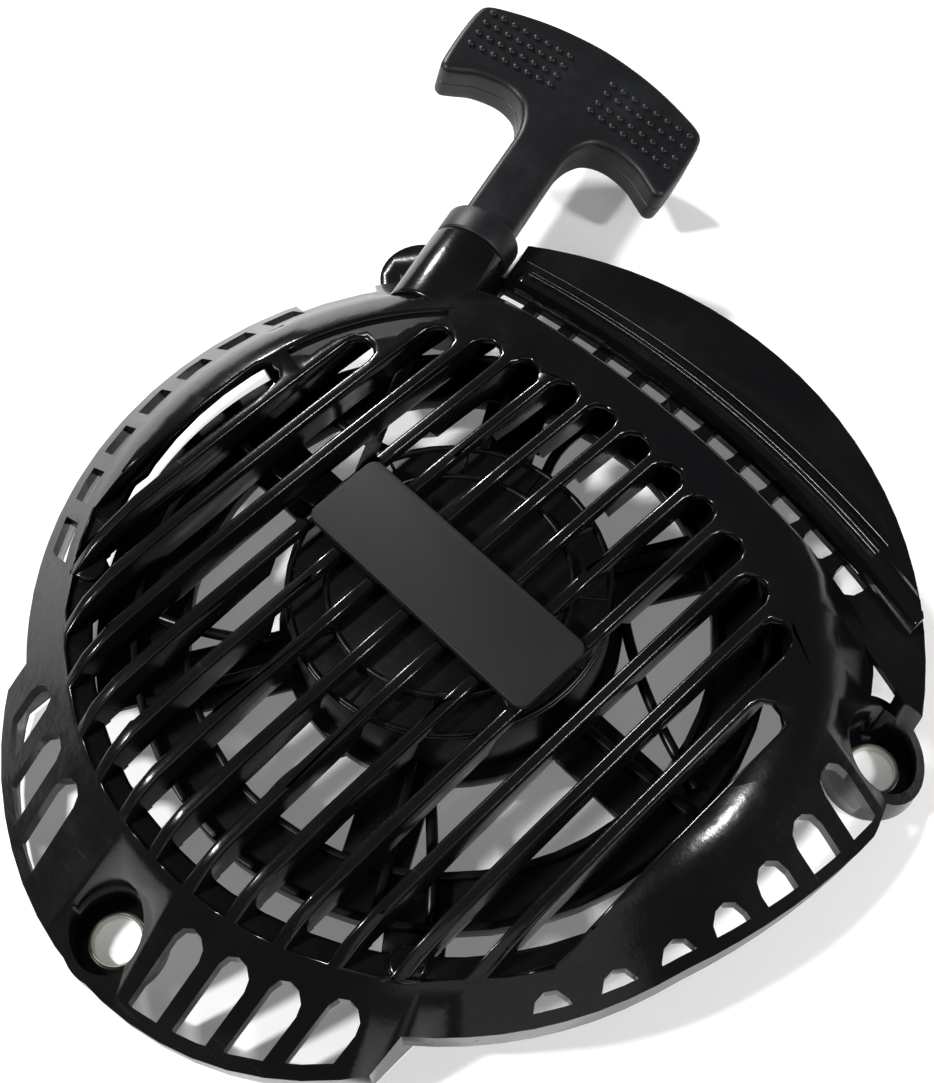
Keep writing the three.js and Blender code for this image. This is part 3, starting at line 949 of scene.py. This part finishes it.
@dataclass
class StarterHousing:
    """Inner housing: hub, ring and arms, with stiffening rods and circular beads."""

    edge_mm: float = 0.5
    rod_mm: float = 1.5
    rod_low: float = 17.9
    rod_high: float = 21.0
    rods: tuple = (((-38, 28), (-50, 38), (-56, 58)), ((-38, -32), (-50, -46), (-60, -55)),
                   ((29, 34), (20, 48), (19, 68)), ((31, -33), (16, -52), (10, -76)),
                   ((-45, -8), (-58, -2), (-72, -6)), ((44, 10), (56, 18), (72, 14)))
    rod_rise: tuple = (0.15, 0.7)
    beads: tuple = ((40.3, 37.5, 0.7), (30.8, 39.0, 0.7))
    spokes: int = 12
    spoke_mm: float = 0.45
    spoke_turn: float = 0.3
    web_r: tuple = (81.5, 92.5)
    web_z: tuple = (15.6, 17.2)
    web_deg: tuple = (72.0, 152.0)

    def web(self, steps: int = 60) -> bmesh.types.BMesh:
        """Flat web between the outer ring and the skirt of the cover.

        Args:
            steps: steps along it.

        Returns:
            The closed mesh.
        """
        (r0, r1), (z0, z1), (start, end) = self.web_r, self.web_z, self.web_deg
        section = [Ring(r0, z0), Ring(r1, z0), Ring(r1, z1), Ring(r0, z1)]
        work, rows = bmesh.new(), []
        for i in range(steps + 1):
            a = math.radians(start + (end - start) * i / steps)
            rows.append([work.verts.new(ring.point(a)) for ring in section])
        bridge(work, rows)
        bmesh.ops.recalc_face_normals(work, faces=work.faces)
        return work

    def arc(self, ends: Sequence[Sequence[float]], steps: int = 14) -> list[Vector]:
        """Curved centre line of one rod.

        Args:
            ends: first point, bend and last point in millimetres.
            steps: steps along it.

        Returns:
            The points, in metres.
        """
        a, m, b = (Vector((x, y, 0.0)) for x, y in ends)
        first, run = self.rod_rise
        line = []
        for i in range(steps + 1):
            t = i / steps
            p = a * (1 - t) ** 2 + m * 2 * t * (1 - t) + b * t * t
            p.z = self.rod_low + (self.rod_high - self.rod_low) * math.sin(math.pi * (first + run * t))
            line.append(p * MM)
        return line

    def build(self, shaper: Shaper, finishes: Finishes) -> None:
        """Make the housing, its rods and its beads.

        Args:
            shaper: keeps the pieces.
            finishes: the materials.
        """
        shaper.soften("starter_housing", "housing_shell", self.edge_mm, finishes.housing, Body.COVER,
                      Slot.HOUSING, sharp_edges(60, 0.8), 2)
        lines = [self.arc(r) for r in self.rods]
        rods = RodRunner("housing_rods").sweep(lines, self.rod_mm, finishes.housing)
        shaper.settle("housing_rods", rods, finishes.housing, Body.COVER, Slot.HOUSING, 50)
        (outer, low, _), (inner, _, _) = self.beads
        turns = [2 * math.pi * (k + self.spoke_turn) / self.spokes for k in range(self.spokes)]
        lines = [[Ring(inner + 1.0, low).point(a), Ring(outer, low).point(a)] for a in turns]
        spokes = RodRunner("hub_spokes", 10).sweep(lines, self.spoke_mm, finishes.housing)
        shaper.settle("hub_spokes", spokes, finishes.housing, Body.COVER, Slot.HOUSING, 50)
        shaper.keep("housing_web", self.web(), finishes.housing, Body.COVER, Slot.HOUSING, 30)
        for i, (radius, z, half) in enumerate(self.beads):
            bead = shaper.turn(wire(radius, z, half), 96, True)
            shaper.keep(f"hub_bead_{i + 1}", bead, finishes.housing, Body.COVER, Slot.HOUSING, 60)


@dataclass
class Fasteners:
    """Housing screws, mounting sleeves, centre bolt, washer, bush and shield."""

    sleeve: tuple = ((6.1, 0.3), (6.35, 0), (6.65, 0), (6.9, 0.3), (6.9, 3.3), (6.65, 3.6), (6.35, 3.6),
                     (6.1, 3.3))
    screw_head: float = 3.8
    screw_socket: float = 1.7
    screw_r: float = 1.4
    screw_low: float = 12.4
    screw_high: float = 25.0
    bolt_r: float = 2.3
    bolt_hex: float = 4.82
    pitch: float = 0.8
    thread_deep: float = 0.28

    def thread(self, radius: float, low: float, high: float) -> list[Ring]:
        """Rings of a thread.

        Args:
            radius: its outer radius.
            low: where it starts.
            high: where it ends.

        Returns:
            Crests and roots in turn.
        """
        count = int((high - low) / self.pitch * 2)
        return [Ring(radius - (self.thread_deep if i % 2 else 0.0), low + i * self.pitch / 2)
                for i in range(count)]

    def screw(self) -> list[Ring]:
        """Rings of a pan-head screw with a six-sided socket, head down.

        Returns:
            The rings.
        """
        low, head, socket = self.screw_low, self.screw_head, self.screw_socket
        return ([Ring(0, low + 1.5), Ring(socket, low + 1.3, True), Ring(socket, low, True), Ring(2.7, low),
                 Ring(head - 0.5, low + 0.25), Ring(head, low + 0.9), Ring(head, low + 2.1),
                 Ring(head - 0.2, low + 2.3)]
                + self.thread(self.screw_r, low + 2.3, self.screw_high - 1.0)
                + [Ring(0.9, self.screw_high - 0.4), Ring(0, self.screw_high)])

    def bolt(self) -> list[Ring]:
        """Rings of the centre bolt with its six-sided head, head down.

        Returns:
            The rings.
        """
        flat = self.bolt_hex
        return ([Ring(0, 0.6), Ring(3.9, 0.6), Ring(4.2, 0.4), Ring(4.8, 0.9, True), Ring(flat, 1.4, True),
                 Ring(flat, 2.9, True), Ring(4.6, 3.05)] + self.thread(self.bolt_r, 3.1, 29.2)
                + [Ring(1.7, 29.7), Ring(0, 30.0)])

    def build(self, shaper: Shaper, finishes: Finishes) -> None:
        """Make the fasteners.

        Args:
            shaper: keeps the pieces.
            finishes: the materials.
        """
        names = [f"housing_screw_{i}" for i in range(1, 5)]
        spots = [Matrix.Translation((shaper.middle(n).x, shaper.middle(n).y, 0)) for n in names]
        mesh = Repeater("housing_screws").spread(shaper.turn(self.screw(), 24), spots, finishes.zinc)
        made = shaper.settle("housing_screws", mesh, finishes.zinc, Body.COVER, Slot.ZINC, 35)
        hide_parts(*names)

        sleeves = [f"mount_sleeve_{i}" for i in range(1, 4)]
        spots = [Matrix.Translation((shaper.middle(n).x, shaper.middle(n).y, 0)) for n in sleeves]
        profile = [Ring(r, z) for r, z in self.sleeve]
        mesh = Repeater("mount_sleeves").spread(shaper.turn(profile, 48, True), spots, finishes.zinc)
        made = shaper.settle("mount_sleeves", mesh, finishes.zinc, Body.COVER, Slot.ZINC, 35)
        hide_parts(*sleeves)

        made = shaper.keep("centre_bolt", shaper.turn(self.bolt(), 48), finishes.steel, Body.COVER,
                           Slot.STEEL, 25)
        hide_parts("centre_screw")
        small = sharp_edges(60, 0.3)
        shaper.soften("retainer_washer", "washer", 0.2, finishes.zinc, Body.COVER, Slot.ZINC, small, 2)
        shaper.soften("spring_shield", "shield_plate", 0.12, finishes.zinc, Body.COVER, Slot.ZINC, small, 2)
        shaper.soften("rope_bush", "guide_bush", 0.3, finishes.nylon, Body.COVER, Slot.NYLON, small, 2)


@dataclass
class RecoilDrive:
    """Pulley, pawls, drive plate and springs."""

    spring_turns: int = 8
    spring_in: float = 10.4
    spring_out: float = 37.6
    spring_low: float = 29.8
    spring_high: float = 34.8
    strip: float = 0.9
    brake: tuple = (9.4, 5.15, 0.42)

    def clock_spring(self, steps: int = 56) -> bmesh.types.BMesh:
        """Flat spiral spring with a fine curve.

        Args:
            steps: steps in one turn.

        Returns:
            The closed mesh.
        """
        work, rows = bmesh.new(), []
        count = self.spring_turns * steps
        for i in range(count + 1):
            u = i / count
            angle = u * self.spring_turns * 2 * math.pi
            r = self.spring_in + (self.spring_out - self.spring_in) * u
            rows.append([work.verts.new(Ring(r + side * self.strip / 2, z).point(angle))
                         for side, z in ((1, self.spring_low), (1, self.spring_high), (-1, self.spring_high),
                                         (-1, self.spring_low))])
        bridge(work, rows)
        bmesh.ops.recalc_face_normals(work, faces=work.faces)
        return work

    def build(self, shaper: Shaper, finishes: Finishes) -> None:
        """Make the drive.

        Args:
            shaper: keeps the pieces.
            finishes: the materials.
        """
        edges = sharp_edges(55, 0.3)
        shaper.soften("pulley", "pulley_wheel", 0.3, finishes.nylon, Body.PULLEY, Slot.NYLON, edges, 2)
        shaper.soften("pawl_1", "pawl_cast_1", 0.35, finishes.zinc, Body.PAWL_1, Slot.ZINC, edges, 2)
        shaper.soften("pawl_2", "pawl_cast_2", 0.35, finishes.zinc, Body.PAWL_2, Slot.ZINC, edges, 2)
        shaper.soften("drive_plate", "plate_pressed", 0.25, finishes.zinc, Body.DRIVE_PLATE, Slot.ZINC,
                      edges, 2)
        made = shaper.keep("clock_spring", self.clock_spring(), finishes.steel, Body.COVER, Slot.STEEL)
        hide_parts("recoil_spring")
        section = wire(*self.brake)
        made = shaper.keep("brake_ring", shaper.turn(section, 64, True), finishes.steel, Body.DRIVE_PLATE,
                           Slot.STEEL)
        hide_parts("brake_spring")


@dataclass
class BraidedRope:
    """Starter rope: coil on the pulley, lead to the handle and its two knots."""

    radius: float = 2.0
    crown: float = 0.16
    carriers: int = 8
    lay_mm: float = 9.0
    step_mm: float = 0.55
    sides: int = 20
    coil_r: float = 35.6
    coil_pitch: float = 4.12
    coil_turns: float = 2.9
    coil_z: float = 24.0
    coil_steps: int = 360
    enter: float = 76.0
    last: float = 165.3
    bend: float = 5.0
    gap: float = 0.4
    trough: float = 0.4
    inner_knot: tuple = (3.1, 1.05, 0.6)
    outer_knot: tuple = (4.4, 1.5, 1.0)

    def tangent(self, line: RopeLine) -> float:
        """Angle at which the rope leaves the coil."""
        e = line.at(self.enter) / MM
        return math.atan2(e.y, e.x) + math.acos(self.coil_r / math.hypot(e.x, e.y))

    def even(self, points: Sequence[Vector], step: float) -> list[Vector]:
        """Points spread evenly along a polyline.

        Args:
            points: the polyline.
            step: distance between two points.

        Returns:
            The new points, from its start to its end.
        """
        out, carry = [points[0].copy()], 0.0
        for a, b in zip(points, points[1:]):
            length = (b - a).length
            at = step - carry
            while at <= length:
                out.append(a.lerp(b, at / length))
                at += step
            carry = length - (at - step)
        if (out[-1] - points[-1]).length > step * 0.3:
            out.append(points[-1].copy())
        return out

    def braid(self, path: Sequence[Vector], radius: float, loop: bool = False) -> bmesh.types.BMesh:
        """Braided tube along a path.

        Args:
            path: centre line in millimetres.
            radius: largest radius in millimetres.
            loop: whether the path closes on itself.

        Returns:
            The mesh, in metres, with the height of the strands in the attribute "strand".
        """
        line = self.even(list(path), self.step_mm * radius / self.radius)
        if loop and (line[-1] - line[0]).length < self.step_mm:
            line.pop()
        work = bmesh.new()
        layer = work.verts.layers.float.new("strand")
        rows, side, done = [], Vector((0, 0, 1)), 0.0
        lay = self.lay_mm * radius / self.radius
        count = len(line)
        for i, p in enumerate(line):
            before = line[i - 1] if i or loop else p
            after = line[(i + 1) % count] if i + 1 < count or loop else p
            ahead = (after - before).normalized()
            side = (side - ahead * side.dot(ahead)).normalized()
            other = ahead.cross(side)
            if i:
                done += (p - line[i - 1]).length
            phase = 2 * math.pi * done / lay
            row = []
            for k in range(self.sides):
                a = 2 * math.pi * k / self.sides
                right = math.cos(self.carriers / 2 * (a + phase))
                left = math.cos(self.carriers / 2 * (a - phase))
                weave = 0.5 + 0.5 * math.sin(self.carriers * a / 2) * math.sin(self.carriers * phase / 2)
                high = max(right * (0.6 + 0.4 * weave), left * (1.0 - 0.4 * weave), -self.trough)
                high = (high + self.trough) / (1.0 + self.trough)
                r = radius * (1 - self.crown / self.radius * (1 - high))
                vert = work.verts.new((p + (side * math.cos(a) + other * math.sin(a)) * r) * MM)
                vert[layer] = high
                row.append(vert)
            rows.append(row)
        bridge(work, rows, loop)
        bmesh.ops.recalc_face_normals(work, faces=work.faces)
        return work

    def knot(self, outer: float, thick: float, squash: float) -> list[Vector]:
        """Closed path of a tight knot that fits in a ball.

        Args:
            outer: radius of the ball in millimetres.
            thick: radius of the rope in it.
            squash: how much flatter it is in its own Z.

        Returns:
            Points of the path about the ball's middle.
        """
        reach = (outer - thick) / 3.0
        path = []
        for i in range(121):
            t = 2 * math.pi * i / 120
            path.append(Vector((math.sin(t) + 2 * math.sin(2 * t), math.cos(t) - 2 * math.cos(2 * t),
                                -math.sin(3 * t) * 1.9 * squash)) * reach)
        return path

    def build(self, shaper: Shaper, finishes: Finishes, line: RopeLine, handle: Matrix) -> None:
        """Make the rope.

        Args:
            shaper: keeps the pieces.
            finishes: the materials.
            line: where the rope runs.
            handle: frame of the handle.
        """
        leave = self.tangent(line)
        coil = []
        for i in range(self.coil_steps + 1):
            u = i / self.coil_steps
            a = leave + math.radians(3) + (1 - u) * self.coil_turns * 2 * math.pi
            r = self.coil_r - (1 - u) * self.coil_turns * self.coil_pitch
            coil.append(Vector((r * math.cos(a), r * math.sin(a), self.coil_z)))
        made = shaper.keep("rope_turns", self.braid(coil, self.radius), finishes.rope, Body.PULLEY,
                           Slot.ROPE, 60)
        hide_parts("rope_coil")

        start = Vector((self.coil_r * math.cos(leave), self.coil_r * math.sin(leave), self.coil_z))
        turn, end = line.at(self.enter) / MM, line.at(self.last) / MM
        first, second = (turn - start).normalized(), (end - turn).normalized()
        before, after = turn - first * self.bend, turn + second * self.bend
        path = [start + first * self.gap, before]
        path += [before * (1 - t) ** 2 + turn * 2 * t * (1 - t) + after * t * t
                 for t in (i / 8 for i in range(1, 8))]
        path += [after, end]
        made = shaper.keep("rope_out", self.braid(path, self.radius), finishes.rope, None, Slot.ROPE, 60)
        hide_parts("rope_lead")
        line.at(self.enter + 2)
        line.at(self.last - 2)
        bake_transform(made)

        inner = shaper.middle("rope_knot_inner") / MM
        path = [inner + p for p in self.knot(*self.inner_knot)]
        made = shaper.keep("knot_inner", self.braid(path, self.inner_knot[1], True), finishes.rope,
                           Body.PULLEY, Slot.ROPE, 60)
        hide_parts("rope_knot_inner")
        ball = shaper.middle("rope_knot") / MM
        turned = handle.to_3x3()
        path = [ball + turned @ Vector((p.z, p.x, p.y)) for p in self.knot(*self.outer_knot)]
        made = shaper.keep("knot_outer", self.braid(path, self.outer_knot[1], True), finishes.rope,
                           Body.HANDLE, Slot.ROPE, 60)
        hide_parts("rope_knot")


@dataclass
class PullHandle:
    """T handle: two rounded halves, a collar and rows of grip dots."""

    deep: float = 7.0
    roll_deg: float = 14.0
    lip_mm: float = 2.0
    joint_mm: float = 0.2
    roof: float = 3.2
    collar_r: float = 11.8
    collar_lip: float = 0.9
    collar_from: float = 0.4
    collar_long: float = 9.6
    dot_r: float = 1.2
    dot_high: float = 0.85
    columns: int = 8
    left: tuple = (((76.7, 35.4), (77.9, 8.3)), ((72.1, 35.4), (73.3, 8.3)),
                   ((67.3, 35.4), (68.6, 8.3)), ((62.3, 35.4), (64.4, 8.3)))
    right: tuple = (((76.8, -7.7), (75.0, -36.2)), ((72.5, -7.7), (70.2, -36.2)),
                    ((67.7, -7.2), (64.8, -35.9)), ((63.7, -6.4), (60.2, -35.2)))
    outline: tuple = ((7.6, 8), (30, 8), (38, 8), (43.5, 8.2), (49.3, 9.8), (53.8, 13), (55.8, 19),
                      (54.2, 28), (51.4, 32.8), (49.4, 36.8), (50.4, 39), (53.4, 39.8), (76.5, 39.8),
                      (79, 38.2), (82.6, 30), (85.8, 19), (87.4, 9), (88, 0))
    knot_at: float = 68.0
    knot_room: float = 6.3
    rope_room: float = 3.0

    def frame(self, line: RopeLine) -> Matrix:
        """Frame of the handle: X along the rope, Z out of its dotted face, in metres."""
        return (Matrix.Translation(line.at(line.boss)) @ Matrix.Rotation(line.angle, 4, "Z")
                @ Matrix.Rotation(math.radians(self.roll_deg), 4, "X"))

    def contour(self, steps: int = 6) -> list[Vector]:
        """Smooth outline of the handle in millimetres, from the stem round the grip and back.

        Args:
            steps: points between two given ones.

        Returns:
            The points, with the handle on their right.
        """
        side = [Vector((s, t, 0)) for s, t in self.outline]
        given = side + [Vector((p.x, -p.y, 0)) for p in reversed(side[:-1])]
        ends = [given[0] * 2 - given[1]] + given + [given[-1] * 2 - given[-2]]
        line = []
        for a, b, c, d in zip(ends, ends[1:], ends[2:], ends[3:]):
            t1 = (b - a).length ** 0.5
            t2 = t1 + (c - b).length ** 0.5
            t3 = t2 + (d - c).length ** 0.5
            for i in range(steps):
                t = t1 + (t2 - t1) * i / steps
                mid = (t - t1) / (t2 - t1)
                ab, bc, cd = a.lerp(b, t / t1), b.lerp(c, mid), c.lerp(d, (t - t2) / (t3 - t2))
                line.append(ab.lerp(bc, t / t2).lerp(bc.lerp(cd, (t - t1) / (t3 - t1)), mid))
        return line + [given[-1]]

    def inset(self, line: Sequence[Vector], by: float) -> list[Vector]:
        """Outline moved inwards.

        Args:
            line: the outline.
            by: how far, in millimetres.

        Returns:
            The moved outline.
        """
        out = []
        for i, p in enumerate(line):
            ahead = (line[min(i + 1, len(line) - 1)] - line[max(i - 1, 0)]).normalized()
            out.append(p + Vector((ahead.y, -ahead.x, 0)) * by)
        return out

    def channel(self) -> list[Vector]:
        """Inner edge of the room for the rope and its knot.

        Returns:
            The points, in millimetres.
        """
        a0 = math.asin(self.rope_room / self.knot_room)
        edge = [Vector((self.outline[0][0], -self.rope_room, 0))]
        for i in range(25):
            a = -math.pi + a0 + (2 * math.pi - 2 * a0) * i / 24
            edge.append(Vector((self.knot_at + self.knot_room * math.cos(a),
                                self.knot_room * math.sin(a), 0)))
        return edge + [Vector((self.outline[0][0], self.rope_room, 0))]

    @staticmethod
    def stack(work: bmesh.types.BMesh, frame: Matrix,
              layers: Sequence[tuple[Sequence[Vector], float]]) -> None:
        """Closed shape through stacked outlines of equal count.

        Args:
            work: the mesh it is added to.
            frame: the handle's frame.
            layers: outline and height, in millimetres.
        """
        bridge(work, [[work.verts.new(frame @ (Vector((p.x, p.y, z)) * MM)) for p in rim]
                      for rim, z in layers])

    def half(self, shaper: Shaper, finishes: Finishes, node: str, name: str, frame: Matrix,
             face: int) -> None:
        """Make one half of the grip in place of its CAD node.

        Args:
            shaper: keeps the pieces.
            finishes: the materials.
            node: the CAD node.
            name: the piece's name.
            frame: the handle's frame.
            face: 1 for the half above the parting line, -1 for the one below.
        """
        line, inner, lip = self.contour(), self.channel(), self.lip_mm
        work = bmesh.new()
        self.stack(work, frame, [(self.inset(line, by) + inner, face * z) for by, z in (
            (self.joint_mm, 0.0), (0.0, self.joint_mm), (0.0, self.roof))])
        rounding = [(lip * (1 - math.cos(a)), self.deep - lip + lip * math.sin(a))
                    for a in (math.pi / 2 * k / 6 for k in range(7))]
        self.stack(work, frame, [(self.inset(line, by), face * z)
                                 for by, z in [(0.0, self.roof)] + rounding])
        bmesh.ops.recalc_face_normals(work, faces=work.faces)
        bmesh.ops.triangulate(work, faces=[f for f in work.faces if len(f.verts) > 4])
        made = shaper.keep(name, work, finishes.grip, Body.HANDLE, Slot.GRIP, 38)
        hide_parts(node)

    def collar(self, shaper: Shaper, finishes: Finishes, frame: Matrix) -> None:
        """Make the round collar at the foot of the stem.

        Args:
            shaper: keeps the pieces.
            finishes: the materials.
            frame: the handle's frame.
        """
        lip, start, end = self.collar_lip, self.collar_from, self.collar_long
        core, turns = self.collar_r - lip, (0.4, 0.8, 1.2, 1.57)
        loop = [Ring(self.rope_room, start), Ring(core, start)]
        loop += [Ring(core + lip * math.sin(a), start + lip - lip * math.cos(a)) for a in turns]
        loop += [Ring(core + lip * math.cos(a), end - lip + lip * math.sin(a)) for a in (0.0, *turns)]
        loop.append(Ring(self.rope_room, end))
        work = shaper.turn(loop, 72, True)
        work.transform(frame @ Matrix.Rotation(math.pi / 2, 4, "Y"))
        shaper.keep("grip_collar", work, finishes.grip, Body.HANDLE, Slot.GRIP, 38)

    def dot(self) -> list[Ring]:
        """Rings of one low round dot.

        Returns:
            The rings.
        """
        r, h = self.dot_r, self.dot_high
        return [Ring(0, -0.3), Ring(r, -0.3), Ring(r, 0.0), Ring(r * 0.93, h * 0.42),
                Ring(r * 0.72, h * 0.75), Ring(r * 0.4, h * 0.95), Ring(0, h)]

    def spots(self, frame: Matrix) -> list[Matrix]:
        """Places of the dots on both faces of the handle.

        Args:
            frame: the handle's frame.

        Returns:
            Place and turn of each dot.
        """
        found = []
        for face in (1, -1):
            flip = Matrix.Identity(4) if face > 0 else Matrix.Rotation(math.pi, 4, "X")
            for (s0, t0), (s1, t1) in self.left + self.right:
                for k in range(self.columns):
                    u = k / (self.columns - 1)
                    at = Vector((s0 + (s1 - s0) * u, t0 + (t1 - t0) * u, face * self.deep)) * MM
                    found.append(frame @ Matrix.Translation(at) @ flip)
        return found

    def build(self, shaper: Shaper, finishes: Finishes, line: RopeLine) -> None:
        """Make the handle.

        Args:
            shaper: keeps the pieces.
            finishes: the materials.
            line: where the rope runs.
        """
        frame = self.frame(line)
        self.half(shaper, finishes, "handle_upper", "grip_upper", frame, 1)
        self.half(shaper, finishes, "handle_lower", "grip_lower", frame, -1)
        self.collar(shaper, finishes, frame)
        mesh = Repeater("grip_dots").spread(shaper.turn(self.dot(), 16), self.spots(frame), finishes.grip)
        shaper.settle("grip_dots", mesh, finishes.grip, Body.HANDLE, Slot.GRIP, 50)


# ---------------------------------------------------------------- studio


@dataclass(frozen=True)
class SoftLight:
    """One square area light that faces a point of the starter."""

    name: str
    place: tuple[float, float, float]
    size: float
    power: float

    def build(self, aim: Vector) -> None:
        """Place the light.

        Args:
            aim: the point it faces.
        """
        data = bpy.data.lights.new(self.name, "AREA")
        data.shape, data.size, data.energy = "SQUARE", self.size, self.power
        lamp = bpy.data.objects.new(self.name, data)
        bpy.context.scene.collection.objects.link(lamp)
        lamp.location = self.place
        lamp.rotation_euler = (aim - Vector(self.place)).to_track_quat("-Z", "Y").to_euler()


@dataclass
class Studio:
    """Pale floor, soft lights and the camera."""

    eye: tuple[float, float, float] = (-119.82, -132.27, 381.72)
    azimuth: float = -43.635
    elevation: float = 61.03
    roll: float = -0.947
    lens: float = 59.68
    sensor: float = 36.0
    clip: tuple[float, float] = (0.01, 20.0)
    aim: tuple[float, float, float] = (0.0, 0.0, 0.03)
    floor_z: float = -0.5
    floor_half: float = 3.0
    sky: float = 0.1
    glow: float = 0.17
    lights: tuple = field(default_factory=lambda: (
        SoftLight("far_strip", (0.33, 0.76, 0.5), 0.07, 8.0),
        SoftLight("near_strip", (0.31, -0.66, 0.6), 0.09, 5.0),
        SoftLight("left_key", (-0.56, 0.36, 0.72), 0.08, 9.0),
        SoftLight("fill", (-0.7, -1.1, 1.0), 1.4, 6.0)))

    def camera(self) -> None:
        """Place the camera."""
        az, el, roll = (math.radians(a) for a in (self.azimuth, self.elevation, self.roll))
        ahead = Vector((-math.sin(az) * math.cos(el), math.cos(az) * math.cos(el), -math.sin(el)))
        right = Vector((math.cos(az), math.sin(az), 0.0))
        up = right.cross(ahead)
        c, s = math.cos(roll), math.sin(roll)
        right, up = right * c + up * s, up * c - right * s
        data = bpy.data.cameras.new("camera")
        data.sensor_fit, data.sensor_width, data.lens = "HORIZONTAL", self.sensor, self.lens
        data.clip_start, data.clip_end = self.clip
        cam = bpy.data.objects.new("camera", data)
        bpy.context.scene.collection.objects.link(cam)
        turn = Matrix((right, up, -ahead)).transposed().to_4x4()
        cam.matrix_world = Matrix.Translation(Vector(self.eye) * MM) @ turn
        bpy.context.scene.camera = cam

    def floor(self) -> None:
        """Lay the pale floor."""
        g = Graph("floor_pale")
        speck = g.noise(14.0, 4.0, 0.6)
        pale = g.finish(g.tint(speck, (0.88, 0.88, 0.88), (0.91, 0.91, 0.91)), speck * 0.1 + 0.6,
                        Emission_Strength=self.glow)
        g.shader.inputs["Emission Color"].default_value = (1.0, 1.0, 1.0, 1.0)
        work = bmesh.new()
        bmesh.ops.create_grid(work, x_segments=8, y_segments=8, size=self.floor_half,
                              matrix=Matrix.Translation((0, 0, self.floor_z * MM)))
        mesh = bpy.data.meshes.new("floor")
        work.to_mesh(mesh)
        work.free()
        mesh.materials.append(pale)
        made = bpy.data.objects.new("floor", mesh)
        bpy.context.scene.collection.objects.link(made)

    def build(self) -> None:
        """Make the camera, floor, lights and sky."""
        self.camera()
        self.floor()
        for light in self.lights:
            light.build(Vector(self.aim))
        world = bpy.data.worlds.new("sky")
        bpy.context.scene.world = world
        world.use_nodes = True
        back = world.node_tree.nodes["Background"]
        back.inputs["Color"].default_value = (1.0, 1.0, 1.0, 1.0)
        back.inputs["Strength"].default_value = self.sky
        bpy.context.scene.view_settings.view_transform = "Standard"
        LOG.info("studio: %d lights", len(self.lights))


def main() -> None:
    """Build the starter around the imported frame."""
    logging.basicConfig(level=logging.INFO, format="%(message)s")
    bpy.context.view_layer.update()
    finishes = Finishes.build()
    shaper = Shaper(frame["nodes"])
    line = RopeLine()
    handle = PullHandle()
    Studio().build()
    CoverShell().build(shaper, finishes)
    StarterHousing().build(shaper, finishes)
    Fasteners().build(shaper, finishes)
    RecoilDrive().build(shaper, finishes)
    BraidedRope().build(shaper, finishes, line, handle.frame(line))
    handle.build(shaper, finishes, line)


if __name__ == "__main__":
    main()
